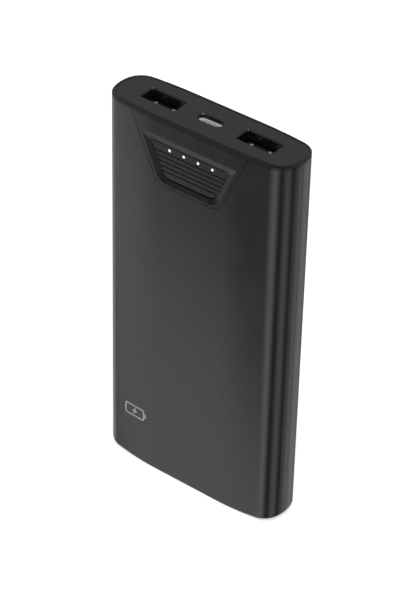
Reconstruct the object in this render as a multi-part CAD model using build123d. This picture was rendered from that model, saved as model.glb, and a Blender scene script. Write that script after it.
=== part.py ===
from build123d import *
import os
from math import atan, cos, hypot, sqrt

# A pocket power bank, standing on its end: the sockets look up, the power key looks to the front.
# Millimetres. Origin: the middle of the foot. +Z up, +X to the right, the front face looks along -Y.

# --- Case ---
case_width = 72.0
case_depth = 19.2
case_height = 143.0
face_strip_width = 28.0        # the flat strip down the middle of the front and of the back
face_radius = 143.0            # the slow curve from that strip to the corners
corner_radius = 7.0
side_radius = 13.0
foot_strip_width = 24.0        # the flat strip that the case stands on
foot_radius = 180.0            # the foot curves up from that strip to both ends
foot_edge_radius = 0.9
wall = 1.6
parting_y = -0.55              # the front and rear shells meet here
parting_gap = 0.16
lip_depth = 1.4
lip_clearance = 0.06
rib_thickness = 1.0

# --- Port cap on the top ---
cap_bevel_width = 1.5
cap_bevel_height = 0.3
cap_rim_height = 0.35
cap_thickness = 2.1
cap_gap = 0.2                  # the open joint between the cap and the shells
spigot_clearance = 0.1
hook_width = 4.0
hook_thickness = 1.1
hook_length = 5.0
hook_catch = 0.6
hook_clearance = 0.15

# --- Front panel, a trapezoid with parallel sides for the recess and the key ---
panel_x = -1.0                 # the inlay sits this far to the left of the middle
panel_half_top = 23.05         # half width at the height of the cap's face
panel_slope = 0.455            # each side comes in this much for each millimetre down
panel_bottom = 24.1            # how far below the cap's face the lower edge lies
panel_corner = 5.5
panel_thickness = 1.0
panel_clearance = 0.18
adhesive_thickness = 0.1
seat_thickness = 1.0           # the shell's ledge behind the panel
ledge_gap = 0.2                # from that ledge up to the cap's spigot
recess_side = 1.3              # from the panel's side to the recess
recess_top = 6.4
recess_bottom = 23.1
recess_corner = 5.0
recess_depth = 0.9
recess_tip_corner = 0.5
collar_wall = 1.6
collar_depth = 2.3             # the panel's collar around the key reaches this far in

# --- Power key ---
key_side = 3.25                # from the panel's side to the key
key_top = 9.15
key_bottom = 21.3
key_low_gap = 0.3              # the gap is this much wider along the key's lower edge
key_corner = 3.8
key_tip_corner = 0.4
key_sunk = 0.85                # the key's face lies this far inside the panel's face
key_clearance = 0.15
key_skin = 1.2
key_wall = 1.3
key_edge = 0.2
key_post_radius = 2.2          # the post that presses the switch
flange_width = 0.9
flange_thickness = 0.75
key_play = 0.05
groove_count = 5
groove_first = 12.2
groove_pitch = 1.7
groove_width = 0.42
groove_depth = 0.28
light_drop = 10.7
light_pitch = 5.59
light_row_x = -0.7             # the middle of the row of lights
light_count = 4
pipe_radius = 0.5
pipe_clearance = 0.25
pipe_boss = 0.9
pipe_collar = 0.6
pipe_led_gap = 0.75

# --- Tact switch ---
switch_drop = 15.0
switch_size = 5.2
switch_height = 1.5
switch_floor = 0.4
switch_cover_thickness = 0.15
plunger_radius = 1.2
plunger_foot = 1.6
plunger_stand = 0.6
plunger_clearance = 0.1
dome_radius = 1.9
dome_height = 0.25
dome_thickness = 0.06

# --- USB-A receptacles ---
usb_a_x = 18.73
usb_a_y = 0.29
usb_a_width = 13.1
usb_a_height = 5.7
usb_a_metal = 0.29
usb_a_corner = 0.5
usb_a_length = 14.0
usb_a_sunk = 2.15              # the metal's mouth lies this far below the cap's face
usb_a_block = 5.0
usb_a_tongue_width = 11.1
usb_a_tongue_thickness = 1.84
usb_a_tongue_back = 0.72
usb_a_tongue_sunk = 3.2
usb_a_pins = (-3.5, -1.0, 1.0, 3.5)
usb_a_pin_width = 1.0
usb_a_pin_thickness = 0.3
usb_a_pin_rise = 0.15          # how far a contact stands out of the tongue
usb_a_short_pin = 1.0          # the inner pair stops this much earlier
finger_width = 2.2             # the spring fingers in the receptacle's metal
finger_length = 4.6
finger_slot = 0.3
finger_sunk = 2.2
finger_x = 3.2
port_clearance = 0.15
port_bevel = 0.4
port_corner = 0.35

# --- USB-C receptacle ---
usb_c_width = 8.94
usb_c_height = 3.2
usb_c_metal = 0.3
usb_c_y = 0.05
usb_c_length = 7.4
usb_c_sunk = 1.4
usb_c_block = 1.6
usb_c_tongue_width = 6.7
usb_c_tongue_thickness = 0.7
usb_c_tongue_sunk = 0.9        # from the metal's mouth to the tongue's end
usb_c_pin_count = 12
usb_c_pin_pitch = 0.5
usb_c_pin_width = 0.27
usb_c_pin_thickness = 0.08
usb_c_pin_length = 3.4
usb_c_bevel = 0.2

# --- Main board and what is soldered to it ---
board_thickness = 1.2
board_half_width = 31.0
board_top = 4.0                # below the cap's face
board_bottom = 34.0
board_corner = 1.5
leg_width = 1.2
leg_clearance = 0.1
leg_stub = 0.5                 # how far a leg stands out at the front of the board
tail_radius = 0.35
tail_length = 1.9
screw_x = 28.4
screw_drops = (8.5, 30.5)
screw_radius = 0.8
screw_hole_clearance = 0.2
screw_play = 0.02
screw_head_radius = 1.5
screw_head_edge = 0.35
screw_head_height = 0.9
screw_length = 4.4
screw_slot_width = 0.35
screw_slot_reach = 0.9
screw_slot_depth = 0.4
boss_radius = 2.1
inductor_x = -19.5
inductor_drop = 26.0
inductor_size = 7.2
inductor_height = 4.0
chip_drop = 24.0
chip_size = 5.0
chip_height = 0.9

# --- Battery ---
cell_side_room = 7.0           # from the case's side to the cells
cell_top_room = 7.6            # from the cells up to the board
cell_edge = 1.2
cell_floor = 3.4
cell_adhesive = 0.2
foam_thickness = 1.45
foam_gap = 0.05
tab_width = 6.0
tab_height = 3.2
tab_thickness = 0.15
tab_x = 14.0
guard_width = 40.0
guard_depth = 5.0
guard_thickness = 1.0
lead_radius = 1.0
lead_x = 3.2
lead_stub = 6.0

# --- Worked out from those ---
half_width = case_width / 2
half_depth = case_depth / 2
front_y = -half_depth
rim_z = case_height - cap_bevel_height - cap_rim_height
shell_top = rim_z - cap_gap
board_back_y = usb_a_y - usb_a_height / 2
board_front_y = board_back_y - board_thickness
key_face_y = front_y + key_sunk
collar_back_y = front_y + collar_depth
flange_y = collar_back_y + key_play
flange_back_y = flange_y + flange_thickness
switch_z = case_height - switch_drop
light_z = case_height - light_drop
switch_top_y = board_front_y - switch_height
plunger_tip_y = switch_top_y - plunger_stand
cell_width = case_width - 2 * cell_side_room
cell_top = case_height - board_bottom - cell_top_room
cell_thickness = half_depth - wall - foam_gap - foam_thickness - cell_adhesive / 2
light_xs = [light_row_x + light_pitch * (i - (light_count - 1) / 2) for i in range(light_count)]
usb_a_xs = {"left": -usb_a_x, "right": usb_a_x}
usb_a_mouth_z = case_height - usb_a_sunk
usb_c_mouth_z = case_height - usb_c_sunk
port_width = usb_a_width + 2 * port_clearance
port_height = usb_a_height + 2 * port_clearance
slot_width = usb_c_width + 2 * port_clearance
slot_height = usb_c_height + 2 * port_clearance


def brick(x, y, z):
    """A box from its three (low, high) pairs."""
    size = (x[1] - x[0], y[1] - y[0], z[1] - z[0])
    return Pos((x[0] + x[1]) / 2, (y[0] + y[1]) / 2, (z[0] + z[1]) / 2) * Box(*size)


def rod_y(x, z, radius, start, end):
    """A round bar along Y."""
    return Pos(x, (start + end) / 2, z) * Rot(90, 0, 0) * Cylinder(radius, end - start)


def slab_y(outline, start, end):
    """An outline drawn in X and Z, made solid from one depth to another."""
    at_start = Plane((0, start, 0), x_dir=(1, 0, 0), z_dir=(0, -1, 0))
    return extrude(at_start * outline, amount=start - end)


def arc_about(centre, radius, start, end):
    """The short arc of a circle between two of its points."""
    middle_x = start[0] + end[0] - 2 * centre[0]
    middle_y = start[1] + end[1] - 2 * centre[1]
    reach = radius / hypot(middle_x, middle_y)
    return ThreePointArc(start, (centre[0] + middle_x * reach, centre[1] + middle_y * reach), end)


def toward(start, centre, distance):
    """The point beyond centre, seen from start, at a distance from centre."""
    run = hypot(centre[0] - start[0], centre[1] - start[1])
    step = distance / run
    return (centre[0] + (centre[0] - start[0]) * step, centre[1] + (centre[1] - start[1]) * step)


def case_plan(inset=0.0):
    """The case seen from above: flat strips, slow curves, corners and round sides, all tangent."""
    face_centre = (face_strip_width / 2, half_depth - face_radius)
    side_centre = (half_width - side_radius, 0.0)
    from_face = face_radius - corner_radius
    from_side = side_radius - corner_radius
    gap_x = side_centre[0] - face_centre[0]
    gap_y = side_centre[1] - face_centre[1]
    gap = hypot(gap_x, gap_y)
    along = (from_face ** 2 - from_side ** 2 + gap ** 2) / (2 * gap)
    across = sqrt(from_face ** 2 - along ** 2)
    corner = (face_centre[0] + (along * gap_x + across * gap_y) / gap,
              face_centre[1] + (along * gap_y - across * gap_x) / gap)
    strip_end = (face_strip_width / 2, half_depth - inset)
    face_end = toward(face_centre, corner, corner_radius - inset)
    side_start = toward(side_centre, corner, corner_radius - inset)
    side_middle = (half_width - inset, 0.0)
    quarter = Curve() + [
        Line((0, half_depth - inset), strip_end),
        arc_about(face_centre, face_radius - inset, strip_end, face_end),
        arc_about(corner, corner_radius - inset, face_end, side_start),
        arc_about(side_centre, side_radius - inset, side_start, side_middle),
    ]
    half = quarter + mirror(quarter, about=Plane.XZ)
    return make_face(half + mirror(half, about=Plane.YZ))


def case_block(inset, top):
    """The case's outer form, moved in by inset, from the foot up to top."""
    reach = half_width + 1.0
    foot_half = foot_strip_width / 2
    end_z = foot_radius - sqrt((foot_radius - inset) ** 2 - (reach - foot_half) ** 2)
    right = arc_about((foot_half, foot_radius), foot_radius - inset, (foot_half, inset), (reach, end_z))
    left = arc_about((-foot_half, foot_radius), foot_radius - inset, (-foot_half, inset), (-reach, end_z))
    profile = make_face(Curve() + [
        Line((-foot_half, inset), (foot_half, inset)), right, left,
        Line((reach, end_z), (reach, top)), Line((reach, top), (-reach, top)),
        Line((-reach, top), (-reach, end_z)),
    ])
    keep = slab_y(profile, -case_depth, case_depth)
    return extrude(case_plan(inset), amount=top) & keep


def trapezoid(side, top, bottom, corner, tip_corner, grow=0.0):
    """An outline parallel to the panel's sides; side is its distance from them, grow moves it out."""
    slant = sqrt(1 + panel_slope ** 2)

    def half_at(drop):
        return panel_half_top - panel_slope * drop - (side - grow) * slant

    high = top - grow
    low = bottom + grow
    points = [(panel_x - half_at(high), case_height - high), (panel_x + half_at(high), case_height - high),
              (panel_x + half_at(low), case_height - low), (panel_x - half_at(low), case_height - low)]
    outline = make_face(Polyline(*points, close=True))
    lower = outline.vertices().group_by(Axis.Y)[0]
    outline = fillet(lower, corner + grow)
    if tip_corner + grow > 0.05:
        upper = outline.vertices().group_by(Axis.Y)[-1]
        outline = fillet(upper, tip_corner + grow)
    return outline


def key_outline(grow=0.0):
    return trapezoid(key_side, key_top, key_bottom, key_corner, key_tip_corner, grow)


def recess_outline(grow=0.0):
    return trapezoid(recess_side, recess_top, recess_bottom, recess_corner, recess_tip_corner, grow)


def collar_outline(grow=0.0):
    return key_outline(key_clearance + collar_wall + grow)


def panel_outline(top, grow=0.0):
    """The panel's outline; its top edge is straight across, under the cap."""
    outline = trapezoid(0.0, top, panel_bottom, panel_corner, 0.0, grow)
    return outline


# --- Case shells: moulded ABS, tongue and groove along the parting line ---

def case_shell():
    outer = case_block(0.0, shell_top)
    low_edges = []
    for edge in outer.edges():
        middle = edge @ 0.5
        along = edge % 0.5
        on_foot = middle.Z < wall + 1.0 and abs(along.Z) < 0.9
        across_foot = edge.geom_type == GeomType.LINE and abs(along.Y) > 0.99
        if on_foot and not across_foot:
            low_edges.append(edge)
    outer = fillet(low_edges, foot_edge_radius)
    return outer, case_block(wall, shell_top + 1.0)


def behind(y):
    """All the space behind a depth."""
    return brick((-case_width, case_width), (y, case_depth), (-10, case_height + 10))


def above(z):
    return brick((-case_width, case_width), (-case_depth, case_depth), (z, case_height + 10))


def before(y):
    return brick((-case_width, case_width), (-case_depth, y), (-10, case_height + 10))


def hook_pockets():
    """The hollows in the side walls that the cap's hooks catch in."""
    pockets = None
    top = rim_z - (cap_thickness - cap_bevel_height - cap_rim_height) - hook_length
    for side in (-1, 1):
        outer_x = half_width - wall + hook_catch + hook_clearance
        low_x = half_width - wall - 1.2
        xs = sorted((side * low_x, side * outer_x))
        half = hook_width / 2 + hook_clearance
        pocket = brick(xs, (-half, half), (top - hook_clearance, top + 1.5 + hook_clearance))
        pockets = pocket if pockets is None else pockets + pocket
    return pockets


def front_shell():
    outer, cavity = case_shell()
    shell = (outer - cavity) & before(parting_y - parting_gap / 2)
    # The ledge behind the panel, and the window that the key works through
    seat_y = front_y + panel_thickness + adhesive_thickness
    ledge = slab_y(panel_outline(case_height - shell_top, 1.2), seat_y, seat_y + seat_thickness)
    ledge = ledge & case_block(wall / 2, shell_top)
    spigot_room = extrude(case_plan(wall), amount=case_height)
    ledge = ledge - (spigot_room & above(case_height - cap_thickness - ledge_gap))
    shell = shell + ledge
    pocket = slab_y(panel_outline(-2.0, panel_clearance), front_y - 1, 0)
    pocket = pocket - case_block(panel_thickness + adhesive_thickness, case_height + 5)
    shell = shell - pocket
    shell = shell - slab_y(collar_outline(panel_clearance), front_y - 1, seat_y + seat_thickness + 0.5)
    # The rebate that takes the rear shell's lip
    rebate = case_block(wall / 2 - lip_clearance, shell_top + 1)
    rebate = rebate & behind(parting_y - lip_depth - lip_clearance)
    shell = shell - rebate
    # Screw bosses for the board
    inner = case_block(wall / 2, shell_top)
    for side in (-1, 1):
        for drop in screw_drops:
            boss = rod_y(side * screw_x, case_height - drop, boss_radius, front_y, board_front_y)
            shell = shell + (boss & inner)
    for side in (-1, 1):
        for drop in screw_drops:
            shell = shell - rod_y(side * screw_x, case_height - drop, screw_radius + screw_play,
                                  board_back_y - screw_length - 0.2, board_front_y + 1)
    shell = shell - hook_pockets()
    return shell


def rear_shell():
    outer, cavity = case_shell()
    shell = (outer - cavity) & behind(parting_y + parting_gap / 2)
    lip = case_block(wall / 2 + lip_clearance, shell_top) - cavity
    lip = lip & behind(parting_y - lip_depth) & before(parting_y + 1.0)
    shell = shell + lip
    # Two ribs across the inside: one over the cells, one behind the receptacles
    inner = case_block(wall / 2, shell_top)
    rib_fronts = {cell_top + 1.0: cell_adhesive / 2 + cell_thickness / 2 + tab_thickness + 1.0,
                  usb_a_mouth_z - usb_a_length - 2.0: usb_a_y + usb_a_height / 2 + 1.0}
    for low, front in rib_fronts.items():
        rib = brick((-half_width, half_width), (front, half_depth), (low, low + rib_thickness))
        shell = shell + (rib & inner)
    return shell - hook_pockets()


# --- Port cap: moulded, bevelled all round, with a spigot and two hooks ---

def top_cap():
    bevel_z = rim_z + cap_rim_height
    flange = Pos(0, 0, rim_z) * extrude(case_plan(0.0), amount=cap_rim_height)
    flange = flange + loft([Pos(0, 0, bevel_z) * case_plan(0.0),
                            Pos(0, 0, case_height) * case_plan(cap_bevel_width)], ruled=True)
    low = case_height - cap_thickness
    spigot = Pos(0, 0, low) * extrude(case_plan(wall + spigot_clearance), amount=rim_z - low)
    cap = flange + spigot
    for side in (-1, 1):
        outer_x = half_width - wall - 0.6
        xs = sorted((side * outer_x, side * (outer_x - hook_thickness)))
        cap = cap + brick(xs, (-hook_width / 2, hook_width / 2), (low - hook_length, low + 0.5))
        tooth = Plane((0, -hook_width / 2, 0), x_dir=(1, 0, 0), z_dir=(0, -1, 0)) * make_face(Polyline(
            (side * (outer_x - 0.1), low - hook_length),
            (side * outer_x, low - hook_length),
            (side * (half_width - wall + hook_catch), low - hook_length + 1.2),
            (side * (half_width - wall + hook_catch), low - hook_length + 1.5),
            (side * (outer_x - 0.1), low - hook_length + 1.5), close=True))
        cap = cap + extrude(tooth, amount=-hook_width)
    for x in usb_a_xs.values():
        hole = RectangleRounded(port_width, port_height, port_corner)
        cap = cap - Pos(x, usb_a_y, low - 1) * extrude(hole, amount=cap_thickness + 2)
        mouth = RectangleRounded(port_width + 2 * port_bevel, port_height + 2 * port_bevel,
                                 port_corner + port_bevel)
        cap = cap - bevel_cutter(hole, mouth, x, usb_a_y, port_bevel)
    slot = SlotOverall(slot_width, slot_height)
    cap = cap - Pos(0, usb_c_y, low - 1) * extrude(slot, amount=cap_thickness + 2)
    slot_mouth = SlotOverall(slot_width + 2 * usb_c_bevel, slot_height + 2 * usb_c_bevel)
    return cap - bevel_cutter(slot, slot_mouth, 0, usb_c_y, usb_c_bevel)


def bevel_cutter(hole, mouth, x, y, depth):
    """The funnel that bevels the rim of a hole in the cap's face."""
    return loft([Pos(x, y, case_height - depth) * hole, Pos(x, y, case_height) * mouth], ruled=True)


# --- Front panel and the tape that holds it ---

def front_panel():
    top = case_height - rim_z + cap_gap
    plate = slab_y(panel_outline(top), front_y - 1, 0) & case_block(0.0, case_height)
    plate = plate - case_block(panel_thickness, case_height + 1)
    collar = slab_y(collar_outline(), front_y + panel_thickness / 2, collar_back_y)
    panel = plate + collar
    opening_bottom = key_bottom + key_low_gap
    opening = trapezoid(key_side, key_top, opening_bottom, key_corner, key_tip_corner, key_clearance)
    floor_y = front_y + recess_depth
    funnel = loft([face_at(recess_outline(), front_y), face_at(opening, floor_y)], ruled=True)
    funnel = funnel + slab_y(recess_outline(), front_y - 1, front_y)
    return panel - funnel - slab_y(opening, front_y - 1, collar_back_y + 1)


def face_at(outline, y):
    return Plane((0, y, 0), x_dir=(1, 0, 0), z_dir=(0, -1, 0)) * outline


def panel_adhesive():
    top = case_height - shell_top
    tape = slab_y(panel_outline(top + 0.5, -0.4), front_y - 1, 0)
    tape = tape & case_block(panel_thickness, case_height)
    tape = tape - case_block(panel_thickness + adhesive_thickness, case_height + 1)
    return tape - slab_y(collar_outline(panel_clearance), front_y - 1, 0)


# --- Power key, with the four light pipes that ride in it ---

def power_key():
    key = slab_y(key_outline(), key_face_y, flange_y)
    key = fillet(key.faces().sort_by(Axis.Y)[0].edges(), key_edge)
    key = key + slab_y(key_outline(flange_width), flange_y, flange_back_y)
    key = key - slab_y(key_outline(-key_wall), key_face_y + key_skin, flange_back_y + 1)
    within = slab_y(key_outline(-key_edge), key_face_y, flange_back_y)
    for x in light_xs:
        around_pipe = pipe_radius + pipe_clearance + pipe_boss
        boss = rod_y(x, light_z, around_pipe, key_face_y + key_skin / 2, flange_back_y)
        key = key + (boss & within)
    post_tip_y = plunger_tip_y - key_play
    key = key + rod_y(panel_x, switch_z, key_post_radius, key_face_y + key_skin / 2, post_tip_y)
    for x in light_xs:
        key = key - rod_y(x, light_z, pipe_radius + pipe_clearance, key_face_y - 1, flange_back_y + 1)
    for i in range(groove_count):
        z = case_height - groove_first - i * groove_pitch
        groove = make_face(Polyline((key_face_y - 0.3, z - groove_width),
                                    (key_face_y - 0.3, z + groove_width),
                                    (key_face_y, z + groove_width / 2),
                                    (key_face_y + groove_depth, z + groove_width / 6),
                                    (key_face_y + groove_depth, z - groove_width / 6),
                                    (key_face_y, z - groove_width / 2), close=True))
        key = key - extrude(Plane.YZ * groove, amount=half_width, both=True)
    return key


def light_pipes():
    pipes = []
    tip_y = board_front_y - 0.6 - pipe_led_gap
    for x in light_xs:
        pipe = rod_y(x, light_z, pipe_radius, key_face_y + 0.03, tip_y)
        pipe = fillet(pipe.edges().sort_by(Axis.Y)[0], 0.2)
        collar_radius = pipe_radius + pipe_clearance + 0.4
        collar = rod_y(x, light_z, collar_radius, flange_back_y, flange_back_y + pipe_collar)
        pipes.append(pipe + collar)
    return pipes


# --- Tact switch under the key ---

def switch_base():
    half = switch_size / 2
    base = brick((panel_x - half, panel_x + half), (switch_top_y + switch_cover_thickness, board_front_y),
                 (switch_z - half, switch_z + half))
    base = chamfer(base.edges().filter_by(Axis.Y), 0.5)
    well = rod_y(panel_x, switch_z, dome_radius + 0.15, switch_top_y - 1, board_front_y - switch_floor)
    return base - well


def switch_cover():
    half = switch_size / 2
    cover = brick((panel_x - half, panel_x + half), (switch_top_y, switch_top_y + switch_cover_thickness),
                  (switch_z - half, switch_z + half))
    cover = chamfer(cover.edges().filter_by(Axis.Y), 0.5)
    hole_radius = plunger_radius + plunger_clearance
    return cover - rod_y(panel_x, switch_z, hole_radius, switch_top_y - 1, board_front_y)


def switch_plunger():
    foot_front = switch_top_y + switch_cover_thickness + 0.03
    foot_back = foot_front + 0.3
    plunger = rod_y(panel_x, switch_z, plunger_radius, plunger_tip_y, foot_back)
    plunger = fillet(plunger.edges().sort_by(Axis.Y)[0], 0.15)
    return plunger + rod_y(panel_x, switch_z, plunger_foot, foot_front, foot_back)


def switch_dome():
    """The snap dome: a shallow dish of spring steel with its crown towards the plunger."""
    floor_y = board_front_y - switch_floor
    sphere_radius = (dome_radius ** 2 + dome_height ** 2) / (2 * dome_height)
    centre_y = floor_y - dome_height + sphere_radius
    ball = Sphere(sphere_radius) - Sphere(sphere_radius - dome_thickness)
    dish = Pos(panel_x, centre_y, switch_z) * ball
    return dish & rod_y(panel_x, switch_z, dome_radius, floor_y - dome_height - 0.1, floor_y)


def status_leds():
    leds = []
    for x in light_xs:
        lens = brick((x - 0.55, x + 0.55), (board_front_y - 0.6, board_front_y - 0.25),
                     (light_z - 0.4, light_z + 0.4))
        foot = brick((x - 0.8, x + 0.8), (board_front_y - 0.25, board_front_y),
                     (light_z - 0.4, light_z + 0.4))
        leds.append(lens + foot)
    return leds


# --- USB-A receptacles: folded steel shell, moulded block with the tongue, four contacts ---

def usb_a_shell(x):
    low = usb_a_mouth_z - usb_a_length
    outline = RectangleRounded(usb_a_width, usb_a_height, usb_a_corner)
    outer = Pos(x, usb_a_y, low) * extrude(outline, amount=usb_a_length)
    bore = RectangleRounded(usb_a_width - 2 * usb_a_metal, usb_a_height - 2 * usb_a_metal,
                            usb_a_corner - usb_a_metal)
    shell = outer - Pos(x, usb_a_y, low - 1) * extrude(bore, amount=usb_a_length + 2)
    # Spring fingers: a U-shaped cut around each, two at the front and back, one at each side
    for place in (-finger_x, finger_x):
        for side in (-1, 1):
            shell = shell - finger_slit(x + place, usb_a_y + side * usb_a_height / 2, Axis.Y)
    for side in (-1, 1):
        shell = shell - finger_slit(x + side * usb_a_width / 2, usb_a_y, Axis.X)
    for side in (-1, 1):
        leg_x = x + side * (usb_a_width - usb_a_metal) / 2
        shell = shell + brick((leg_x - usb_a_metal / 2, leg_x + usb_a_metal / 2),
                              (board_front_y - leg_stub, usb_a_y - 1.0), leg_zs())
    # The opening that the contacts' tails come out of, towards the board
    window = brick((x + usb_a_pins[0] - 0.8, x + usb_a_pins[-1] + 0.8), (board_back_y - 1, board_back_y + 1),
                   (tail_z(0) - 0.8, tail_z(usb_a_pins[0]) + 0.8))
    return shell - window


def finger_slit(x, y, axis):
    """The U-shaped slit that frees one spring finger of a receptacle's shell."""
    half = finger_width / 2
    top = usb_a_mouth_z - finger_sunk
    bars = [(-half, -half + finger_slot, 0, finger_length),
            (half - finger_slot, half, 0, finger_length),
            (-half, half, finger_length - finger_slot, finger_length)]
    cut = None
    for low_u, high_u, low_v, high_v in bars:
        zs = (top - high_v, top - low_v)
        if axis == Axis.Y:
            bar = brick((x + low_u, x + high_u), (y - 0.6, y + 0.6), zs)
        else:
            bar = brick((x - 0.6, x + 0.6), (y + low_u, y + high_u), zs)
        cut = bar if cut is None else cut + bar
    return cut


def leg_zs():
    high = usb_a_mouth_z - usb_a_length + 3.5
    return (high - leg_width, high)


def tongue_ys():
    """Front and back of the tongue, which lies behind the middle of the mouth."""
    back = usb_a_y + usb_a_height / 2 - usb_a_metal - usb_a_tongue_back
    return (back - usb_a_tongue_thickness, back)


def usb_a_insulator(x):
    low = usb_a_mouth_z - usb_a_length
    width = usb_a_width - 2 * usb_a_metal
    height = usb_a_height - 2 * usb_a_metal
    block = extrude(RectangleRounded(width, height, usb_a_corner - usb_a_metal), amount=usb_a_block)
    block = Pos(x, usb_a_y, low) * block
    half = usb_a_tongue_width / 2
    tongue = brick((x - half, x + half), tongue_ys(), (low + 1, case_height - usb_a_tongue_sunk))
    tongue = chamfer(tongue.faces().sort_by(Axis.Z)[-1].edges(), 0.25)
    body = block + tongue
    for offset in usb_a_pins:
        body = body - contact_channel(x + offset, contact_top(offset))
    for offset in usb_a_pins:
        body = body - rod_y(x + offset, tail_z(offset), tail_radius, board_back_y - 1, tongue_ys()[0])
    return body


def contact_top(offset):
    short = usb_a_short_pin if abs(offset) < 2 else -0.05
    return case_height - usb_a_tongue_sunk - short


def tail_z(offset):
    row = 0.0 if abs(offset) < 2 else 0.8
    return usb_a_mouth_z - usb_a_length + 1.2 + row


def contact_channel(x, top):
    """The strip of one contact along the tongue's front face; the outer pair turn over its end."""
    front = tongue_ys()[0]
    half = usb_a_pin_width / 2
    low_y = front - usb_a_pin_rise
    strip = brick((x - half, x + half), (low_y, low_y + usb_a_pin_thickness),
                  (usb_a_mouth_z - usb_a_length + 0.6, top))
    if top > case_height - usb_a_tongue_sunk:
        strip = strip + brick((x - half, x + half), (front, front + 1.3), (top - 0.3, top))
    return strip


def usb_a_contacts(x):
    contacts = []
    for offset in usb_a_pins:
        strip = contact_channel(x + offset, contact_top(offset))
        tail = rod_y(x + offset, tail_z(offset), tail_radius, board_back_y - tail_length, tongue_ys()[0])
        contacts.append(strip + tail)
    return contacts


# --- USB-C receptacle ---

def usb_c_shell():
    low = usb_c_mouth_z - usb_c_length
    outer = Pos(0, usb_c_y, low) * extrude(SlotOverall(usb_c_width, usb_c_height), amount=usb_c_length)
    bore = SlotOverall(usb_c_width - 2 * usb_c_metal, usb_c_height - 2 * usb_c_metal)
    shell = outer - Pos(0, usb_c_y, low - 1) * extrude(bore, amount=usb_c_length + 2)
    for side in (-1, 1):
        leg_x = side * (usb_c_width - usb_c_metal) / 2
        for z in usb_c_leg_zs():
            shell = shell + brick((leg_x - usb_c_metal / 2, leg_x + usb_c_metal / 2),
                                  (board_front_y - leg_stub, usb_c_y), (z, z + leg_width))
    return shell


def usb_c_leg_zs():
    low = usb_c_mouth_z - usb_c_length
    return (low + 1.0, low + usb_c_length - 3.4)


def usb_c_insulator():
    """The block at the back, the thin tongue, and the stand that lifts the receptacle off the board."""
    low = usb_c_mouth_z - usb_c_length
    bore = SlotOverall(usb_c_width - 2 * usb_c_metal, usb_c_height - 2 * usb_c_metal)
    block = Pos(0, usb_c_y, low) * extrude(bore, amount=usb_c_block)
    half_w = usb_c_tongue_width / 2
    half_t = usb_c_tongue_thickness / 2
    tongue = brick((-half_w, half_w), (usb_c_y - half_t, usb_c_y + half_t),
                   (low + 0.5, usb_c_mouth_z - usb_c_tongue_sunk))
    stand_half = usb_c_width / 2 - usb_c_height / 2
    stand = brick((-stand_half, stand_half), (board_back_y, usb_c_y - usb_c_height / 2), (low, low + 4.5))
    neck = brick((-stand_half, stand_half), (board_back_y, usb_c_y), (low - 1.0, low))
    return block + tongue + stand + neck


def usb_c_contacts():
    contacts = []
    high = usb_c_mouth_z - usb_c_tongue_sunk - 0.4
    first = -(usb_c_pin_count - 1) / 2 * usb_c_pin_pitch
    for side in (-1, 1):
        inner = usb_c_y + side * usb_c_tongue_thickness / 2
        ys = sorted((inner, inner + side * usb_c_pin_thickness))
        for i in range(usb_c_pin_count):
            x = first + i * usb_c_pin_pitch
            contacts.append(brick((x - usb_c_pin_width / 2, x + usb_c_pin_width / 2), ys,
                                  (high - usb_c_pin_length, high)))
    return contacts


# --- Main board and its parts ---

def main_board():
    high = case_height - board_top
    low = case_height - board_bottom
    plate = Pos(0, (high + low) / 2) * RectangleRounded(2 * board_half_width, high - low, board_corner)
    board = slab_y(plate, board_front_y, board_back_y)
    holes = []
    for side in (-1, 1):
        for drop in screw_drops:
            holes.append(rod_y(side * screw_x, case_height - drop, screw_radius + screw_hole_clearance,
                               board_front_y - 1, board_back_y + 1))
    for x in usb_a_xs.values():
        for side in (-1, 1):
            leg_x = x + side * (usb_a_width - usb_a_metal) / 2
            holes.append(leg_hole(leg_x, usb_a_metal, leg_zs()))
        for offset in usb_a_pins:
            holes.append(rod_y(x + offset, tail_z(offset), tail_radius + leg_clearance,
                               board_front_y - 1, board_back_y + 1))
    for side in (-1, 1):
        leg_x = side * (usb_c_width - usb_c_metal) / 2
        for z in usb_c_leg_zs():
            holes.append(leg_hole(leg_x, usb_c_metal, (z, z + leg_width)))
    for hole in holes:
        board = board - hole
    return board


def leg_hole(x, metal, zs):
    half = metal / 2 + leg_clearance
    return brick((x - half, x + half), (board_front_y - 1, board_back_y + 1),
                 (zs[0] - leg_clearance, zs[1] + leg_clearance))


def board_part(x, drop, width, height, thick, rear=True):
    """A flat package soldered to the rear or the front of the board."""
    ys = (board_back_y, board_back_y + thick) if rear else (board_front_y - thick, board_front_y)
    z = case_height - drop
    return brick((x - width / 2, x + width / 2), ys, (z - height / 2, z + height / 2))


def power_inductor():
    core = board_part(inductor_x, inductor_drop, inductor_size, inductor_size, inductor_height)
    core = chamfer(core.edges().filter_by(Axis.Y), 0.8)
    top = board_back_y + inductor_height
    dimple = rod_y(inductor_x, case_height - inductor_drop, inductor_size * 0.3, top - 0.2, top + 1)
    return core - dimple


def controller_chip():
    chip = board_part(0.0, chip_drop, chip_size, chip_size, chip_height)
    corner = chip_size / 2 - 0.7
    mark = rod_y(-corner, case_height - chip_drop + corner, 0.3, board_back_y + chip_height - 0.1,
                 board_back_y + chip_height + 1)
    return chip - mark


def power_mosfets():
    return [board_part(x, chip_drop, 3.3, 3.3, chip_height) for x in (-11.5, -6.5, 6.5, 11.5)]


def bulk_capacitors():
    return [board_part(x, 24.5, 3.5, 2.8, 1.9) for x in (17.0, 22.0)]


def ceramic_capacitors():
    places = [(-11.0, 29.0), (-7.0, 29.0), (7.0, 29.0), (11.0, 29.0), (17.0, 28.5), (22.0, 28.5)]
    return [board_part(x, drop, 2.0, 1.25, 1.1) for x, drop in places]


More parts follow.
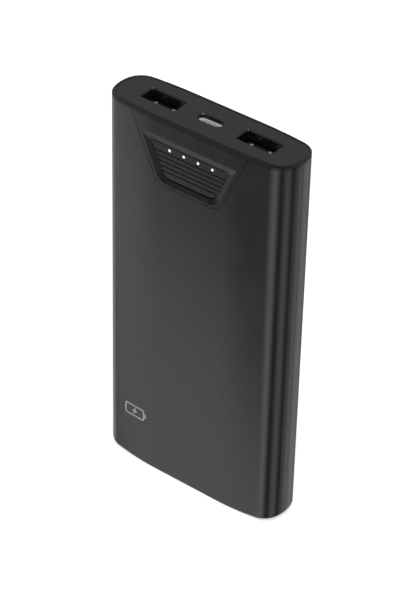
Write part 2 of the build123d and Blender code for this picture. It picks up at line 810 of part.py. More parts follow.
def resistors():
    """Small resistors: a row for the lights in front, a row for the controller behind."""
    front = [board_part(x, light_drop - 3.0, 1.0, 0.5, 0.35, rear=False) for x in light_xs]
    rear = [board_part(x, 19.4, 1.0, 0.5, 0.35) for x in (-4.0, -2.0, 0.0, 2.0, 4.0)]
    return front + rear


def board_screws():
    screws = []
    for side in (-1, 1):
        for drop in screw_drops:
            x, z = side * screw_x, case_height - drop
            head = rod_y(x, z, screw_head_radius, board_back_y, board_back_y + screw_head_height)
            head = fillet(head.edges().sort_by(Axis.Y)[-1], screw_head_edge)
            shank = rod_y(x, z, screw_radius, board_back_y - screw_length, board_back_y)
            top = board_back_y + screw_head_height
            half = screw_slot_width / 2
            depth = (top - screw_slot_depth, top + 1)
            reach = screw_slot_reach
            across = brick((x - reach, x + reach), depth, (z - half, z + half))
            upright = brick((x - half, x + half), depth, (z - reach, z + reach))
            screws.append(head + shank - across - upright)
    return screws


# --- Battery: two pouch cells, their tabs, the guard board and the leads ---

def pouch_cell(front):
    cell = brick((-cell_width / 2, cell_width / 2), (front, front + cell_thickness), (cell_floor, cell_top))
    return fillet(cell.edges().filter_by(Axis.Z), cell_edge)


def cell_fronts():
    return (-cell_adhesive / 2 - cell_thickness, cell_adhesive / 2)


def cell_tape():
    half = cell_width / 2 - 6.0
    return brick((-half, half), (-cell_adhesive / 2, cell_adhesive / 2), (cell_floor + 8, cell_top - 8))


def foam_pad(rear):
    """A soft sheet between a cell and the case."""
    half = face_strip_width / 2
    face = cell_fronts()[1] + cell_thickness if rear else cell_fronts()[0] - foam_thickness
    return brick((-half, half), (face, face + foam_thickness), (cell_floor + 10, cell_top - 10))


def cell_tabs():
    """The nickel tabs stand on the cells and fold over the edge of the guard board."""
    tabs = []
    for front, fold in ((cell_fronts()[0], 1), (cell_fronts()[1], -1)):
        middle = front + cell_thickness / 2
        for x in (-tab_x, tab_x):
            xs = (x - tab_width / 2, x + tab_width / 2)
            edge = middle
            upright = brick(xs, (edge - tab_thickness / 2, edge + tab_thickness / 2),
                            (cell_top, cell_top + tab_height))
            reach = sorted((edge - fold * tab_thickness / 2, fold * -0.3))
            flap = brick(xs, reach, (cell_top + tab_height - tab_thickness, cell_top + tab_height))
            tabs.append(upright + flap)
    return tabs


def guard_z():
    """Underside of the guard board, which lies under the tabs' flaps."""
    return cell_top + tab_height - tab_thickness - guard_thickness


def protection_board():
    return brick((-guard_width / 2, guard_width / 2), (-guard_depth / 2, guard_depth / 2),
                 (guard_z(), guard_z() + guard_thickness))


def protection_chips():
    top = guard_z() + guard_thickness
    return [brick((x - 1.5, x + 1.5), (-1.5, 1.5), (top, top + 0.9)) for x in (-7.0, 7.4)]


def battery_lead(x):
    """A lead from the guard board up to the rear of the main board, in one S-bend."""
    start_z = guard_z() + guard_thickness
    end_y = board_back_y + lead_radius
    start_y = 0.9
    bend_low = start_z + 3.0
    bend_high = case_height - board_bottom + 1.5
    end_z = bend_high + lead_stub
    points = [(x, start_y, start_z), (x, start_y, bend_low), (x, end_y, bend_high), (x, end_y, end_z)]
    turn = atan(abs(start_y - end_y) / (bend_high - bend_low))
    shortest = min(bend_low - start_z, hypot(start_y - end_y, bend_high - bend_low))
    radius = 0.45 * shortest / (turn / 2 / cos(turn / 2))
    print("lead bend radius", round(radius, 2))
    path = FilletPolyline(*points, radius=radius)
    return sweep(Plane(path @ 0, z_dir=path % 0) * Circle(lead_radius), path=path)


parts = {
    "front_shell": front_shell(),
    "rear_shell": rear_shell(),
    "top_cap": top_cap(),
    "front_panel": front_panel(),
    "panel_adhesive": panel_adhesive(),
    "power_key": power_key(),
    "light_pipes": light_pipes(),
    "switch_base": switch_base(),
    "switch_cover": switch_cover(),
    "switch_plunger": switch_plunger(),
    "switch_dome": switch_dome(),
    "status_leds": status_leds(),
    "usb_c_shell": usb_c_shell(),
    "usb_c_insulator": usb_c_insulator(),
    "usb_c_contacts": usb_c_contacts(),
    "main_board": main_board(),
    "power_inductor": power_inductor(),
    "controller_chip": controller_chip(),
    "power_mosfets": power_mosfets(),
    "bulk_capacitors": bulk_capacitors(),
    "ceramic_capacitors": ceramic_capacitors(),
    "resistors": resistors(),
    "board_screws": board_screws(),
    "cell_front": pouch_cell(cell_fronts()[0]),
    "cell_rear": pouch_cell(cell_fronts()[1]),
    "cell_tape": cell_tape(),
    "foam_pad_front": foam_pad(False),
    "foam_pad_rear": foam_pad(True),
    "cell_tabs": cell_tabs(),
    "protection_board": protection_board(),
    "protection_chips": protection_chips(),
    "lead_positive": battery_lead(-lead_x),
    "lead_negative": battery_lead(lead_x),
}
for side_name, port_x in usb_a_xs.items():
    parts["usb_a_" + side_name + "_shell"] = usb_a_shell(port_x)
    parts["usb_a_" + side_name + "_insulator"] = usb_a_insulator(port_x)
    parts["usb_a_" + side_name + "_contacts"] = usb_a_contacts(port_x)

os.makedirs("parts", exist_ok=True)
for name, shape in parts.items():
    if isinstance(shape, list):
        shape = Compound(children=shape)
    export_step(shape, "parts/" + name + ".step")
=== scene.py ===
import math

import bpy
from mathutils import Matrix, Vector


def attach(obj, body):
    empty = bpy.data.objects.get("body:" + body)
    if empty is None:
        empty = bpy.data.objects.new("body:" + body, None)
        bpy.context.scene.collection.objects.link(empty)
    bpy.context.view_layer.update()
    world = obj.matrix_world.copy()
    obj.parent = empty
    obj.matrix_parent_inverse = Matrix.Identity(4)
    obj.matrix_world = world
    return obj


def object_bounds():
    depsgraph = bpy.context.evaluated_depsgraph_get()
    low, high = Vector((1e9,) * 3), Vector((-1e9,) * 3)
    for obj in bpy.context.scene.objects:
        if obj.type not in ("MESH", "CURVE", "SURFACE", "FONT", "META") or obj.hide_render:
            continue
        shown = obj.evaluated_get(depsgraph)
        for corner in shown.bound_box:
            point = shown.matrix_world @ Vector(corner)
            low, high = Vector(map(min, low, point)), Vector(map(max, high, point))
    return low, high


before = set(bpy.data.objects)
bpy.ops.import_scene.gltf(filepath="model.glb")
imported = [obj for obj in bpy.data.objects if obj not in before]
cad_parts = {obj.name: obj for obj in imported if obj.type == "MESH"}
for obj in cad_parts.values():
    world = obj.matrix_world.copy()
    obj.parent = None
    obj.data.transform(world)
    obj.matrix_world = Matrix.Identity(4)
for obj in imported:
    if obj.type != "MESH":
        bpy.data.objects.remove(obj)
cad_low, cad_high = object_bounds()

# --- Case shells ---
# The two halves of the case are moulded in black ABS and meet on a line along both sides. The mould
# is spark-eroded, which leaves the whole skin finely grained and satin, a little rougher in patches.

MM = 0.001    # a millimetre in metres, the scene's unit


def linear(colour):
    """A colour written as sRGB hex, such as "2a2a2b", as the linear colour a shader works in."""
    channels = [int(colour[i:i + 2], 16) / 255 for i in (0, 2, 4)]
    return tuple(c / 12.92 if c <= 0.04045 else ((c + 0.055) / 1.055) ** 2.4 for c in channels) + (1.0,)


def add(tree, kind, settings=None, **inputs):
    """Adds one node, with its settings, and its sockets set to a value or joined to a socket."""
    made = tree.nodes.new("ShaderNode" + kind)
    for name, value in (settings or {}).items():
        setattr(made, name, value)
    for name, value in inputs.items():
        key = int(name[1:]) if name[0] == "i" and name[1:].isdigit() else name.replace("_", " ")
        if isinstance(value, bpy.types.NodeSocket):
            tree.links.new(value, made.inputs[key])
        else:
            made.inputs[key].default_value = value
    return made


def new_material(name):
    """An empty material: its tree, and where a point of it is on the object, in metres."""
    material = bpy.data.materials.new(name)
    material.use_nodes = True
    tree = material.node_tree
    tree.nodes.clear()
    place = add(tree, "TexCoord").outputs["Object"]
    return material, tree, place


def finish_material(material, tree, shader):
    """Joins a shader to the material's output."""
    add(tree, "OutputMaterial", Surface=shader.outputs["BSDF"])
    return material


def tone(tree, factor, colours, stops=(0.0, 1.0)):
    """A ramp between colours written as sRGB hex."""
    ramp = add(tree, "ValToRGB", Fac=factor)
    while len(ramp.color_ramp.elements) < len(colours):
        ramp.color_ramp.elements.new(0.5)
    for element, stop, colour in zip(ramp.color_ramp.elements, stops, colours):
        element.position = stop
        element.color = linear(colour)
    return ramp.outputs["Color"]


def spread(tree, value, low, high):
    """A pattern's 0.3 to 0.7 brought to the range from low to high."""
    inputs = {"i1": 0.3, "i2": 0.7, "i3": low, "i4": high}
    return add(tree, "MapRange", i0=value, **inputs).outputs["Result"]


def moulded(name, dark, light, roughness, grain, grain_depth, ior=1.5, edge=0.0):
    """A moulded plastic: fine grain from the mould, slow patches where it cooled unevenly, and soft
    edges where edge is the radius that the mould leaves on them."""
    material, tree, place = new_material(name)
    patches = add(tree, "TexNoise", Vector=place, Scale=1 / (14 * MM), Detail=3.0).outputs["Fac"]
    pits = add(tree, "TexNoise", Vector=place, Scale=1 / (grain * MM), Detail=2.0,
               Roughness=0.65).outputs["Fac"]
    bump = add(tree, "Bump", Distance=grain_depth * MM, Height=pits)
    if edge:
        soft = add(tree, "Bevel", {"samples": 4}, Radius=edge * MM).outputs["Normal"]
        tree.links.new(soft, bump.inputs["Normal"])
    pit_share = 0.45
    slow = add(tree, "Math", {"operation": "MULTIPLY"}, i0=patches, i1=1 - pit_share).outputs[0]
    mixed = add(tree, "Math", {"operation": "MULTIPLY_ADD"}, i0=pits, i1=pit_share, i2=slow).outputs[0]
    shader = add(tree, "BsdfPrincipled", Base_Color=tone(tree, mixed, (dark, light), (0.3, 0.7)),
                 Roughness=spread(tree, mixed, roughness * 0.88, roughness * 1.12),
                 Normal=bump.outputs["Normal"], IOR=ior)
    return finish_material(material, tree, shader)


def give(material, *names):
    """Puts a material on CAD nodes in place of the plain one."""
    for name in names:
        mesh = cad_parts[name].data
        for i in range(len(mesh.materials)):
            mesh.materials[i] = material


# The real grain is about 0.1 mm, too fine to show, so it is drawn at 0.4 mm. It breaks the soft
# highlights into a faint sparkle.
shell_abs = moulded("shell_abs_spark_eroded", "0d0d0e", "141415", 0.27, 0.4, 0.0018, edge=0.1)
give(shell_abs, "front_shell", "rear_shell")

# --- Printed mark ---
# A plain battery sign with a flash in it is pad-printed in silver ink low on the front shell, where
# the face starts to curve away. The ink lies about a hundredth of a millimetre proud.
mark_middle = Vector((-22.0, 21.0))    # sizes of the mark are in millimetres
sign_half_width = 4.3
sign_half_height = 2.4
sign_line = 0.55
sign_bend = 0.9
nub_gap = 0.15
nub_width = 0.55
nub_half_height = 0.9
ink_proud = 0.012
strip_half = 14.0    # half the width of the flat strip down the middle of the face
face_radius = 143.0
face_y = cad_low.y / MM


def on_face(x, z):
    """The point on the curved front face at x and z in millimetres, just proud of it."""
    out = max(abs(x) - strip_half, 0.0)
    y = face_y + face_radius - math.sqrt(face_radius ** 2 - out ** 2) - ink_proud
    return (x * MM, y * MM, z * MM)


def rounded_loop(half_width, half_height, bend, steps=5, spans=8):
    """The points of a rounded rectangle about the mark's middle, going once round. Its long sides
    are in short spans, to follow the curved face."""
    points = []
    for corner, (side, top) in enumerate(((1, 1), (-1, 1), (-1, -1), (1, -1))):
        for i in range(steps + 1):
            angle = math.pi / 2 * (corner + i / steps)
            points.append((side * (half_width - bend) + bend * math.cos(angle),
                           top * (half_height - bend) + bend * math.sin(angle)))
        if side == top:
            along = half_width - bend
            points += [(top * along * (1 - 2 * i / spans), top * half_height) for i in range(1, spans)]
    return points


outer_loop = rounded_loop(sign_half_width, sign_half_height, sign_bend)
inner_loop = rounded_loop(sign_half_width - sign_line, sign_half_height - sign_line, sign_bend - sign_line)
flash = [(0.7, 1.45), (-1.3, -0.2), (-0.15, -0.2), (-0.7, -1.45), (1.3, 0.2), (0.15, 0.2)]
nub_near = sign_half_width + nub_gap
nub_far = nub_near + nub_width
nub = [(nub_near, -nub_half_height), (nub_far, -nub_half_height),
       (nub_far, nub_half_height), (nub_near, nub_half_height)]
mark_points = []
mark_faces = []
for loop in (outer_loop, inner_loop, flash, nub):
    mark_points += [on_face(mark_middle.x + x, mark_middle.y + z) for x, z in loop]
count = len(outer_loop)
for i in range(count):
    following = (i + 1) % count
    mark_faces.append((i, count + i, count + following, following))
flash_first = 2 * count
mark_faces += [(flash_first, flash_first + 1, flash_first + 2, flash_first + 5),
               (flash_first + 5, flash_first + 2, flash_first + 3, flash_first + 4)]
nub_first = flash_first + len(flash)
mark_faces.append(tuple(range(nub_first, nub_first + len(nub))))
mark_mesh = bpy.data.meshes.new("battery_sign")
mark_mesh.from_pydata(mark_points, [], mark_faces)

# Aluminium flake in clear ink: grey and faintly sparkling, duller than bare metal.
silver_ink, ink_tree, ink_place = new_material("silver_ink_pad_printed")
flakes = add(ink_tree, "TexVoronoi", Vector=ink_place, Scale=1 / (0.3 * MM)).outputs["Distance"]
ink_bump = add(ink_tree, "Bump", Distance=0.004 * MM, Height=flakes).outputs["Normal"]
finish_material(silver_ink, ink_tree, add(
    ink_tree, "BsdfPrincipled", Base_Color=tone(ink_tree, flakes, ("8f9092", "b4b5b7")), Metallic=0.5,
    Roughness=spread(ink_tree, flakes, 0.38, 0.5), Normal=ink_bump))
mark_mesh.materials.append(silver_ink)
battery_sign = bpy.data.objects.new("battery_sign", mark_mesh)
bpy.context.scene.collection.objects.link(battery_sign)
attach(battery_sign, "case")

# --- Port cap ---
# The cap over the sockets is a separate ABS moulding, pushed in until its hooks catch. Its mould has
# a finer grain than the shells' mould, so the face is a little more even in tone.
cap_abs = moulded("cap_abs_fine_eroded", "0e0e0f", "131314", 0.27, 0.35, 0.002, edge=0.06)
give(cap_abs, "top_cap")

# --- Front panel and its tape ---
# The inlay round the key is a thin moulding of ABS with polycarbonate, stuck into a pocket with
# black double-sided acrylic tape. Its grain is coarser than the case's, and its black a shade deeper.
panel_pc = moulded("panel_pc_abs_grained", "0b0b0c", "121213", 0.27, 0.5, 0.003, edge=0.06)
give(panel_pc, "front_panel")

tape, tape_tree, tape_place = new_material("acrylic_tape_black")
tape_specks = add(tape_tree, "TexVoronoi", Vector=tape_place, Scale=1 / (0.8 * MM)).outputs["Distance"]
tape_bump = add(tape_tree, "Bump", Distance=0.02 * MM, Height=tape_specks).outputs["Normal"]
finish_material(tape, tape_tree, add(
    tape_tree, "BsdfPrincipled", Base_Color=tone(tape_tree, tape_specks, ("141415", "2a2a2a")),
    Roughness=spread(tape_tree, tape_specks, 0.5, 0.75), Normal=tape_bump, IOR=1.47))
give(tape, "panel_adhesive")

# --- Power key ---
# The key is one ABS moulding with five grooves across it and a flange behind the panel. Its mould
# is only blasted, so it is plainer and duller than the panel round it.
key_abs = moulded("key_abs_blasted", "09090a", "0e0e0f", 0.32, 0.4, 0.0015, edge=0.12)
give(key_abs, "power_key")

# --- Light pipes and the lights behind them ---
# Four short acrylic rods carry light from the board to the key's face. They are milky, so a lit rod
# shows as one even white dot.
pipe_acrylic, pipe_tree, pipe_place = new_material("acrylic_milky_lit")
haze = add(pipe_tree, "TexNoise", Vector=pipe_place, Scale=1 / (0.5 * MM), Detail=2.0).outputs["Fac"]
pipe_bump = add(pipe_tree, "Bump", Distance=0.004 * MM, Height=haze).outputs["Normal"]
finish_material(pipe_acrylic, pipe_tree, add(
    pipe_tree, "BsdfPrincipled", Base_Color=tone(pipe_tree, haze, ("e4e8ea", "fbfcfc"), (0.3, 0.7)),
    Roughness=spread(pipe_tree, haze, 0.2, 0.32), Normal=pipe_bump, IOR=1.49,
    Emission_Color=linear("f4f8ff"), Emission_Strength=0.3))
give(pipe_acrylic, "light_pipes")

# Each light is a small white package with yellow phosphor over the chip, soldered to the board.
led_body, led_tree, led_place = new_material("led_phosphor_silicone")
crystals = add(led_tree, "TexVoronoi", Vector=led_place, Scale=1 / (0.12 * MM)).outputs["Distance"]
led_bump = add(led_tree, "Bump", Distance=0.01 * MM, Height=crystals).outputs["Normal"]
finish_material(led_body, led_tree, add(
    led_tree, "BsdfPrincipled", Base_Color=tone(led_tree, crystals, ("e9d48a", "f4ecd0")),
    Roughness=spread(led_tree, crystals, 0.35, 0.5), Normal=led_bump, IOR=1.41))
give(led_body, "status_leds")

# --- USB-A sockets ---
# Each socket is a shell folded from steel strip round a black block of liquid crystal polymer; the
# shell is painted near black, as painted shade. The block's tongue carries four gold-flashed contacts.
def rolled_metal(name, dark, light, roughness, line, axis_stretch, depth, edge=0.0):
    """A metal sheet as rolled or drawn: fine lines along one axis, a few brighter rubs, and edges
    worn round by edge."""
    material, tree, place = new_material(name)
    stretched = add(tree, "Mapping", Vector=place, Scale=axis_stretch).outputs["Vector"]
    lines = add(tree, "TexNoise", Vector=stretched, Scale=1 / (line * MM), Detail=3.0).outputs["Fac"]
    rubs = add(tree, "TexNoise", Vector=place, Scale=1 / (3.0 * MM), Detail=2.0).outputs["Fac"]
    bump = add(tree, "Bump", Distance=depth * MM, Height=lines)
    if edge:
        soft = add(tree, "Bevel", {"samples": 4}, Radius=edge * MM).outputs["Normal"]
        tree.links.new(soft, bump.inputs["Normal"])
    shader = add(tree, "BsdfPrincipled", Base_Color=tone(tree, rubs, (dark, light), (0.3, 0.7)),
                 Metallic=1.0, Roughness=spread(tree, lines, roughness * 0.8, roughness * 1.25),
                 Normal=bump.outputs["Normal"])
    return finish_material(material, tree, shader)


# The rolling lines run along the socket; they are about 0.05 mm apart and are drawn at 0.3 mm.
# Painted shade: the steel is painted near black to keep the socket's inside dark; only the worn rim shows
# grey.
shade_painted_steel = rolled_metal("steel_rolled_painted_shade", "353536", "434344", 0.4, 0.3,
                            (1.0, 1.0, 0.12), 0.004, edge=0.12)
give(shade_painted_steel, "usb_a_left_shell", "usb_a_right_shell")
# The polymer block is matt and nearly black, with faint swirls where it flowed into the mould.
lcp_block = moulded("lcp_socket_block_moulded", "0c0c0d", "131314", 0.42, 0.3, 0.005, ior=1.6)
give(lcp_block, "usb_a_left_insulator", "usb_a_right_insulator", "usb_c_insulator")
# A thin flash of gold over bronze is pale and soft, and shows as small warm points.
gold_flash = rolled_metal("gold_flashed_bronze_drawn", "ffe3a0", "fff0c4", 0.55, 0.2,
                          (1.0, 1.0, 0.1), 0.003, edge=0.08)
give(gold_flash, "usb_a_left_contacts", "usb_a_right_contacts", "usb_c_contacts")

# --- USB-C socket ---
# The middle socket has a shell drawn in one piece from stainless strip, so it has no seam. Its
# steel is painted nearly white, as painted light that makes the inside of the socket pale all over.
pale_painted_steel = rolled_metal("stainless_steel_drawn_painted_light", "f6f5f4", "fefefd", 0.8, 0.25,
                           (1.0, 1.0, 0.15), 0.003, edge=0.05)
give(pale_painted_steel, "usb_c_shell")

# --- Tact switch ---
# A black glass-filled nylon box holds a snap dome of spring steel under a thin steel cover. The
# ivory acetal plunger comes up through the cover, and the key's post rests just off it.
glass_nylon = moulded("glass_filled_nylon_moulded", "1a1a1a", "2c2c2b", 0.55, 0.25, 0.012, ior=1.53)
give(glass_nylon, "switch_base")
spring_steel = rolled_metal("spring_steel_pressed", "9a9893", "b7b5b0", 0.3, 0.15, (0.15, 1.0, 1.0), 0.003)
give(spring_steel, "switch_cover", "switch_dome")
acetal = moulded("acetal_ivory_moulded", "d8d2bf", "e6e1d1", 0.32, 0.5, 0.003, ior=1.48)
give(acetal, "switch_plunger")

# --- Main board ---
# The board is glass-epoxy laminate under green solder mask. Copper tracks show through the mask as
# lighter lines, and the laminate's weave shows faintly.
board_mask, board_tree, board_place = new_material("glass_epoxy_green_mask")
weave = add(board_tree, "TexChecker", Vector=board_place, Scale=1 / (0.5 * MM)).outputs["Fac"]
turned = (math.pi / 2, 0, 0)
board_flat = add(board_tree, "Mapping", Vector=board_place, Rotation=turned).outputs["Vector"]
tracks = add(board_tree, "TexBrick", {"offset": 0.5, "squash": 1.0}, Vector=board_flat, Scale=1 / (6 * MM),
             Mortar_Size=0.05, Mortar_Smooth=0.2, Brick_Width=0.9, Row_Height=0.3).outputs["Fac"]
board_noise = add(board_tree, "TexNoise", Vector=board_place, Scale=1 / (4 * MM), Detail=4.0).outputs["Fac"]
mask_green = tone(board_tree, board_noise, ("0f4a2b", "17613a"), (0.3, 0.7))
mask_colour = add(board_tree, "Mix", {"data_type": "RGBA"}, i0=tracks, i6=mask_green, i7=linear("2b8a55"))
board_height = add(board_tree, "Math", {"operation": "MULTIPLY_ADD"}, i0=weave, i1=0.15, i2=tracks)
board_bump = add(board_tree, "Bump", Distance=0.03 * MM, Height=board_height.outputs[0]).outputs["Normal"]
finish_material(board_mask, board_tree, add(
    board_tree, "BsdfPrincipled", Base_Color=mask_colour.outputs[2],
    Roughness=spread(board_tree, board_noise, 0.22, 0.38), Normal=board_bump, IOR=1.55))
give(board_mask, "main_board", "protection_board")

# --- Parts on the board ---
# A moulded powder inductor, epoxy packages, tantalum blocks and chip ceramics are soldered on by
# reflow; four zinc-plated screws hold the board to the front shell's bosses.
powder_core = moulded("iron_powder_pressed", "2b2a2b", "454446", 0.6, 0.35, 0.02, ior=1.6)
give(powder_core, "power_inductor")
epoxy_package = moulded("epoxy_package_moulded", "17181a", "232426", 0.48, 0.2, 0.006, ior=1.55)
give(epoxy_package, "controller_chip", "power_mosfets", "protection_chips", "resistors")
tantalum_block = moulded("tantalum_epoxy_moulded", "a8791f", "c39434", 0.45, 0.3, 0.006)
give(tantalum_block, "bulk_capacitors")
fired_ceramic = moulded("barium_titanate_fired", "7f6247", "9a7b5c", 0.5, 0.18, 0.008, ior=1.7)
give(fired_ceramic, "ceramic_capacitors")
zinc_steel = rolled_metal("zinc_plated_steel_headed", "a9abad", "c6c8ca", 0.33, 0.2, (1.0, 0.3, 1.0), 0.004)
give(zinc_steel, "board_screws")

# --- Battery ---
# Two lithium pouch cells are wrapped in aluminium laminate, which is silvery, slightly crumpled and
# finely embossed. Foam pads hold them, tape joins them, and nickel tabs run to the protection board.
pouch, pouch_tree, pouch_place = new_material("aluminium_laminate_embossed")
emboss = add(pouch_tree, "TexVoronoi", Vector=pouch_place, Scale=1 / (0.9 * MM)).outputs["Distance"]
crumple = add(pouch_tree, "TexNoise", Vector=pouch_place, Scale=1 / (18 * MM), Detail=3.0).outputs["Fac"]
pouch_height = add(pouch_tree, "Math", {"operation": "MULTIPLY_ADD"}, i0=crumple, i1=6.0, i2=emboss)
pouch_bump = add(pouch_tree, "Bump", Distance=0.03 * MM, Height=pouch_height.outputs[0]).outputs["Normal"]
finish_material(pouch, pouch_tree, add(
    pouch_tree, "BsdfPrincipled", Base_Color=tone(pouch_tree, crumple, ("b4b7ba", "d3d6d8"), (0.3, 0.7)),
    Metallic=1.0, Roughness=spread(pouch_tree, crumple, 0.3, 0.45), Normal=pouch_bump))
give(pouch, "cell_front", "cell_rear")

foam, foam_tree, foam_place = new_material("polyurethane_foam_cut")
bubbles = add(foam_tree, "TexVoronoi", Vector=foam_place, Scale=1 / (0.5 * MM)).outputs["Distance"]
foam_bump = add(foam_tree, "Bump", Distance=0.25 * MM, Height=bubbles).outputs["Normal"]
finish_material(foam, foam_tree, add(
    foam_tree, "BsdfPrincipled", Base_Color=tone(foam_tree, bubbles, ("151516", "3a3a3c")),
    Roughness=spread(foam_tree, bubbles, 0.8, 0.95), Normal=foam_bump, IOR=1.45,
    Sheen_Weight=0.15))
give(foam, "foam_pad_front", "foam_pad_rear")
give(tape, "cell_tape")

pure_nickel = rolled_metal("nickel_strip_rolled", "b3ada2", "cbc5ba", 0.3, 0.2, (1.0, 1.0, 0.1), 0.003)
give(pure_nickel, "cell_tabs")

# The two leads are stranded copper in silicone rubber, red and black: matt, with a soft bloom.
red_silicone = moulded("silicone_rubber_red_extruded", "8e1a17", "a92420", 0.55, 0.4, 0.006, ior=1.41)
black_silicone = moulded("silicone_rubber_black_extruded", "161616", "232323", 0.55, 0.4, 0.006, ior=1.41)
give(red_silicone, "lead_positive")
give(black_silicone, "lead_negative")

# --- Floor ---
# A sheet of white studio paper, large enough to fill the view and lit until it is nearly pure
# white. From below it can be seen through.
paper, paper_tree, paper_place = new_material("studio_paper_white")
fibres = add(paper_tree, "TexNoise", Vector=paper_place, Scale=1 / (2 * MM), Detail=3.0).outputs["Fac"]
paper_bump = add(paper_tree, "Bump", Distance=0.02 * MM, Height=fibres).outputs["Normal"]
paper_face = add(paper_tree, "BsdfPrincipled", Base_Color=tone(paper_tree, fibres, ("eeeeee", "f4f4f4")),
                 Roughness=0.9, Normal=paper_bump, Emission_Color=linear("ffffff"), Emission_Strength=0.62)
beneath = add(paper_tree, "NewGeometry").outputs["Backfacing"]
see_through = add(paper_tree, "BsdfTransparent").outputs["BSDF"]
paper_mix = add(paper_tree, "MixShader", i0=beneath, i1=paper_face.outputs["BSDF"], i2=see_through)
add(paper_tree, "OutputMaterial", Surface=paper_mix.outputs[0])

floor_reach = 6.0
floor_z = cad_low.z - 0.05 * MM    # a hair below the foot, which would otherwise flicker
floor_mesh = bpy.data.meshes.new("floor")
floor_mesh.from_pydata([(-floor_reach, -floor_reach, floor_z), (floor_reach, -floor_reach, floor_z),
                        (floor_reach, floor_reach, floor_z), (-floor_reach, floor_reach, floor_z)],
                       [], [(0, 1, 2, 3)])
floor_mesh.materials.append(paper)
floor = bpy.data.objects.new("floor", floor_mesh)
bpy.context.scene.collection.objects.link(floor)
# The satin sides mirror the room below them and not the paper, as if the case stood on glass, and
# the paper doesn't shade the case from the lamp below it.
floor.visible_glossy = False
floor.visible_shadow = False

# --- Light ---
# A tent with pale and dark upright strips far down, which draws the soft upright streaks on the
# rounded sides. It is dim about the horizon, pale higher up, and dark again straight above.
world = bpy.data.worlds.new("studio")
world.use_nodes = True
bpy.context.scene.world = world
sky = world.node_tree
sky.nodes.clear()
looking = add(sky, "TexCoord").outputs["Generated"]
parted = add(sky, "SeparateXYZ", Vector=looking)
toward_front = add(sky, "Math", {"operation": "MULTIPLY"}, i0=parted.outputs["Y"], i1=-1.0).outputs[0]
bearing = add(sky, "Math", {"operation": "ARCTAN2"}, i0=parted.outputs["X"], i1=toward_front).outputs[0]
bearing = add(sky, "Math", {"operation": "MULTIPLY_ADD"}, i0=bearing, i1=0.5 / math.pi, i2=0.5).outputs[0]
# Bearing in degrees from straight in front, turning to the right, and how bright the tent is there
strips = [(-180, 0.2), (-160, 0.35), (-130, 0.4), (-105, 0.8), (-86, 0.95), (-75, 0.6), (-62, 0.22),
          (-48, 0.2), (-36, 0.15), (-26, 0.15), (-19, 0.3), (-7, 1.25), (7, 1.95), (16, 1.6), (25, 0.7),
          (33, 0.02), (46, 0.0), (55, 0.55), (64, 1.05), (75, 1.3), (86, 0.75), (96, 0.05), (108, 0.0),
          (118, 0.3), (128, 0.95), (138, 1.15), (147, 0.65), (156, 1.0), (168, 0.7), (180, 0.2)]
brightest = 2.0
ring = add(sky, "ValToRGB", Fac=bearing)
ring.color_ramp.interpolation = "LINEAR"
while len(ring.color_ramp.elements) < len(strips):
    ring.color_ramp.elements.new(0.5)
for element, (angle, glow) in zip(ring.color_ramp.elements, strips):
    element.position = angle / 360 + 0.5
    element.color = (glow / brightest, glow / brightest, glow / brightest, 1)
strips_end = -0.48    # the sine of the height below which the strips show in full
tent_start = -0.28
upward = add(sky, "MapRange", {"interpolation_type": "SMOOTHSTEP"}, i0=parted.outputs["Z"],
             i1=strips_end, i2=tent_start, i3=0.0, i4=1.0).outputs[0]
# The sine of the height above the horizon, and how bright the tent is there; below the horizon it
# stays as at the first
heights = [(0.0, 0.24), (0.12, 0.12), (0.3, 0.06), (0.46, 0.58), (0.66, 0.58), (0.84, 0.05), (1.0, 0.05)]
overhead = add(sky, "ValToRGB", Fac=parted.outputs["Z"])
while len(overhead.color_ramp.elements) < len(heights):
    overhead.color_ramp.elements.new(0.5)
for element, (height, glow) in zip(overhead.color_ramp.elements, heights):
    element.position = height
    element.color = (glow / brightest, glow / brightest, glow / brightest, 1)
blend = add(sky, "Mix", {"data_type": "RGBA"}, i0=upward, i6=ring.outputs["Color"],
            i7=overhead.outputs["Color"])
glow_node = add(sky, "Background", Color=blend.outputs[2], Strength=brightest)
add(sky, "OutputWorld", Surface=glow_node.outputs[0])


def softbox(name, centre, target, width, height, radiance, turn=0.0):
    """A flat soft light that faces a point; turn spins it about the line between them."""
    light = bpy.data.lights.new(name, "AREA")
    light.shape = "RECTANGLE"
    light.size = width
    light.size_y = height
    light.energy = radiance * math.pi * width * height
    made = bpy.data.objects.new(name, light)
    away = (Vector(centre) - Vector(target)).normalized()
    made.matrix_world = (Matrix.Translation(centre) @ away.to_track_quat("Z", "Y").to_matrix().to_4x4()
                         @ Matrix.Rotation(turn, 4, "Z"))
    made.visible_camera = False
    bpy.context.scene.collection.objects.link(made)
    return made


middle = (cad_low + cad_high) / 2
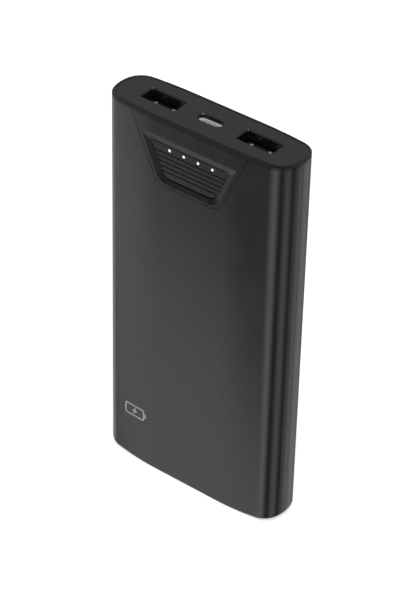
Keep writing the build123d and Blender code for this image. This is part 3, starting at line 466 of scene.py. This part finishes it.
# One near the front, low on the left and tilted, so that the front face fades from lower left to
# upper right.
mirror_line = Vector((-0.479, -0.636, -0.605))
near = 0.3
face_point = Vector((middle.x, cad_low.y, middle.z))
sideways = Vector((0, 0, 1)).cross(mirror_line).normalized()
upright = mirror_line.cross(sideways).normalized()
slant = math.radians(41)
low_width = 0.12
low_height = 0.34
edge_out = 0.022    # how far its right edge lies past the point that the face's middle mirrors
slide = edge_out - low_width / 2
across = sideways * math.cos(slant) + upright * math.sin(slant)
low_centre = face_point + mirror_line * near + across * slide
softbox("low_left_softbox", low_centre, low_centre - mirror_line, low_width, low_height, 1.0, turn=slant)

# One high up and a little to the right, beyond what the cap's face mirrors: it lights the edges, the
# paper and the insides of the sockets.
high_line = Vector((0.25, -0.33, 0.91)).normalized()
high_distance = 0.9
high_side = 0.45
softbox("high_softbox", middle + high_line * high_distance, middle, high_side, high_side, 8.0)

# --- Camera ---
# It looks down on the case from the front right, with a long lens.
camera_data = bpy.data.cameras.new("camera")
camera_data.lens = 145.98
camera_data.sensor_width = 36.0
camera_data.clip_start = 0.05
camera_data.clip_end = 50.0
camera = bpy.data.objects.new("camera", camera_data)
bpy.context.scene.collection.objects.link(camera)
bpy.context.scene.camera = camera
bearing_angle = math.radians(36.992)
height_angle = math.radians(37.216)
roll_angle = math.radians(1.353)
look_at = middle + Vector((-2.04, -0.40, 1.20)) * MM
distance = 792.86 * MM
back = Vector((math.sin(bearing_angle) * math.cos(height_angle),
               -math.cos(bearing_angle) * math.cos(height_angle), math.sin(height_angle)))
right = Vector((math.cos(bearing_angle), math.sin(bearing_angle), 0))
up = back.cross(right)
rolled_right = right * math.cos(roll_angle) + up * math.sin(roll_angle)
rolled_up = up * math.cos(roll_angle) - right * math.sin(roll_angle)
camera.matrix_world = Matrix((
    (rolled_right.x, rolled_up.x, back.x, look_at.x + back.x * distance),
    (rolled_right.y, rolled_up.y, back.y, look_at.y + back.y * distance),
    (rolled_right.z, rolled_up.z, back.z, look_at.z + back.z * distance),
    (0, 0, 0, 1)))
bpy.context.scene.view_settings.view_transform = "Standard"
bpy.context.scene.view_settings.look = "None"
